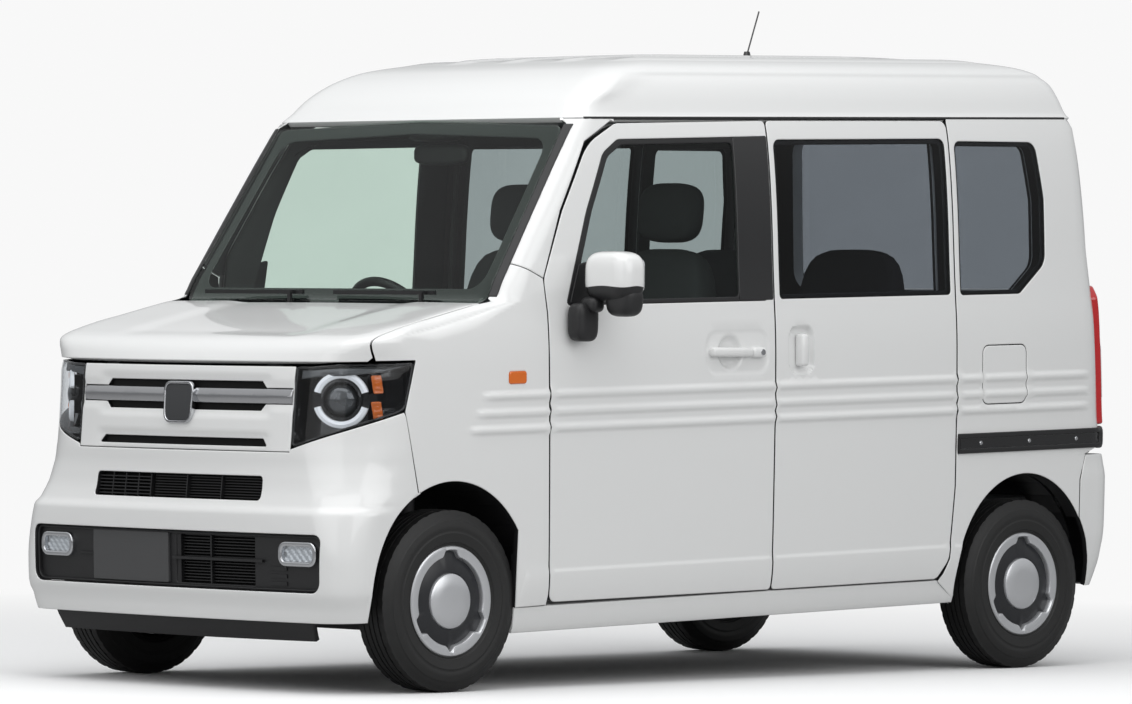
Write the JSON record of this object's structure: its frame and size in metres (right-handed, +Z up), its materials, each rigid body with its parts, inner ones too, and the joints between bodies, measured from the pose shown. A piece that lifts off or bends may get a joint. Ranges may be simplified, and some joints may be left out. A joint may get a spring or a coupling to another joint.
{
  "type": "kei van",
  "caption": "Tall-roofed kei van with a short nose, upright tail, hinged front doors, lifting tailgate, bonnet and steered front wheels.",
  "frame": {"origin": "on the ground, midway along the length and on the centre plane", "axes": "+X to the car's left, the front faces -Y, +Z up"},
  "size_m": [1.889, 3.395, 2.0898],
  "materials": {
    "body_paint": "pearl white gloss",
    "black_plastic": "fine grained",
    "dark_plastic": "satin",
    "black_steel": "satin black",
    "underbody": "sealed",
    "lamp": "clear cover over a dark housing",
    "red_lens": "ribbed lens",
    "screen_glass": "green tint",
    "privacy_glass": "dark tint",
    "seat_cloth": "woven",
    "cast_metal": "cast",
    "exhaust_steel": "dull",
    "tyre_rubber": "matt",
    "wheel_silver": "silver"
  },
  "bodies": {
    "body": {"floor_pan": "underbody", "front_frame": "black_steel", "side_panel_left": "body_paint", "side_panel_right": "body_paint", "roof_panel": "body_paint", "front_fenders": "body_paint", "front_bumper": "body_paint", "air_dam": "black_plastic", "bumper_insert": "dark_plastic", "front_grille": "body_paint", "headlamps": "lamp", "fog_lamps": "lamp", "rear_bumper": "body_paint", "tail_lamps": "red_lens", "windscreen": "screen_glass", "quarter_glass": "privacy_glass", "windscreen_wipers": "black_plastic", "sliding_door_left": "body_paint", "sliding_door_right": "body_paint", "sliding_door_glass": "privacy_glass", "slide_rails": "black_plastic", "antenna": "black_plastic", "dashboard": "dark_plastic", "front_seats": "seat_cloth", "rear_seats": "seat_cloth", "engine": "cast_metal", "fuel_tank": "black_plastic", "exhaust": "exhaust_steel", "wheel_liners": "black_plastic", "front_suspension": "black_steel", "rear_axle": "black_steel"},
    "bonnet_lid": {"bonnet": "body_paint"},
    "tailgate_lid": {"tailgate": "body_paint", "tailgate_glass": "privacy_glass"},
    "left_door": {"front_door_left": "body_paint", "door_glass_left": "screen_glass", "mirror_left": "black_plastic"},
    "right_door": {"front_door_right": "body_paint", "door_glass_right": "screen_glass", "mirror_right": "black_plastic"},
    "flap": {"fuel_flap": "body_paint"},
    "steering": {"steering_wheel": "dark_plastic"},
    "left_hub": {"knuckle_left": "cast_metal"},
    "right_hub": {"knuckle_right": "cast_metal"},
    "front_left_wheel": {"tyre_front_left": "tyre_rubber", "wheel_front_left": "wheel_silver"},
    "front_right_wheel": {"tyre_front_right": "tyre_rubber", "wheel_front_right": "wheel_silver"},
    "rear_left_wheel": {"tyre_rear_left": "tyre_rubber", "wheel_rear_left": "wheel_silver"},
    "rear_right_wheel": {"tyre_rear_right": "tyre_rubber", "wheel_rear_right": "wheel_silver"}
  },
  "joints": [
    {"name": "bonnet_hinge", "type": "hinge", "parent": "body", "child": "bonnet_lid", "pos_m": [0, -1.1195, 1.146], "axis": [-1, 0, 0], "range_deg": [0, 55]},
    {"name": "tailgate_hinge", "type": "hinge", "parent": "body", "child": "tailgate_lid", "pos_m": [0, 1.561, 1.837], "axis": [1, 0, 0], "range_deg": [0, 80]},
    {"name": "left_door_hinge", "type": "hinge", "parent": "body", "child": "left_door", "pos_m": [0.7385, -0.8675, 0.9], "axis": [0, 0, -1], "range_deg": [0, 65]},
    {"name": "right_door_hinge", "type": "hinge", "parent": "body", "child": "right_door", "pos_m": [-0.7385, -0.8675, 0.9], "axis": [0, 0, 1], "range_deg": [0, 65]},
    {"name": "fuel_flap_hinge", "type": "hinge", "parent": "body", "child": "flap", "pos_m": [0.7385, 1.0695, 0.935], "axis": [0, 0, -1], "range_deg": [0, 80]},
    {"name": "left_steer", "type": "hinge", "parent": "body", "child": "left_hub", "pos_m": [0.6, -1.2335, 0.2685], "axis": [0, 0, 1], "range_deg": [-35, 35]},
    {"name": "right_steer", "type": "hinge", "parent": "body", "child": "right_hub", "pos_m": [-0.6, -1.2335, 0.2685], "axis": [0, 0, 1], "range_deg": [-35, 35]},
    {"name": "steering_wheel_turn", "type": "hinge", "parent": "body", "child": "steering", "pos_m": [-0.33, -0.4795, 1.06501], "axis": [0, 0.848, 0.5299], "range_deg": [-525, 525]},
    {"name": "front_left_wheel_spin", "type": "hinge", "parent": "left_hub", "child": "front_left_wheel", "pos_m": [0.655, -1.2335, 0.2685], "axis": [1, 0, 0], "continuous": true},
    {"name": "front_right_wheel_spin", "type": "hinge", "parent": "right_hub", "child": "front_right_wheel", "pos_m": [-0.655, -1.2335, 0.2685], "axis": [1, 0, 0], "continuous": true},
    {"name": "rear_left_wheel_spin", "type": "hinge", "parent": "body", "child": "rear_left_wheel", "pos_m": [0.655, 1.2865, 0.2685], "axis": [1, 0, 0], "continuous": true},
    {"name": "rear_right_wheel_spin", "type": "hinge", "parent": "body", "child": "rear_right_wheel", "pos_m": [-0.655, 1.2865, 0.2685], "axis": [1, 0, 0], "continuous": true}
  ],
  "couplings": [
    {"joint": "right_steer", "follows": "left_steer", "ratio": 1},
    {"joint": "steering_wheel_turn", "follows": "left_steer", "ratio": 15}
  ]
}
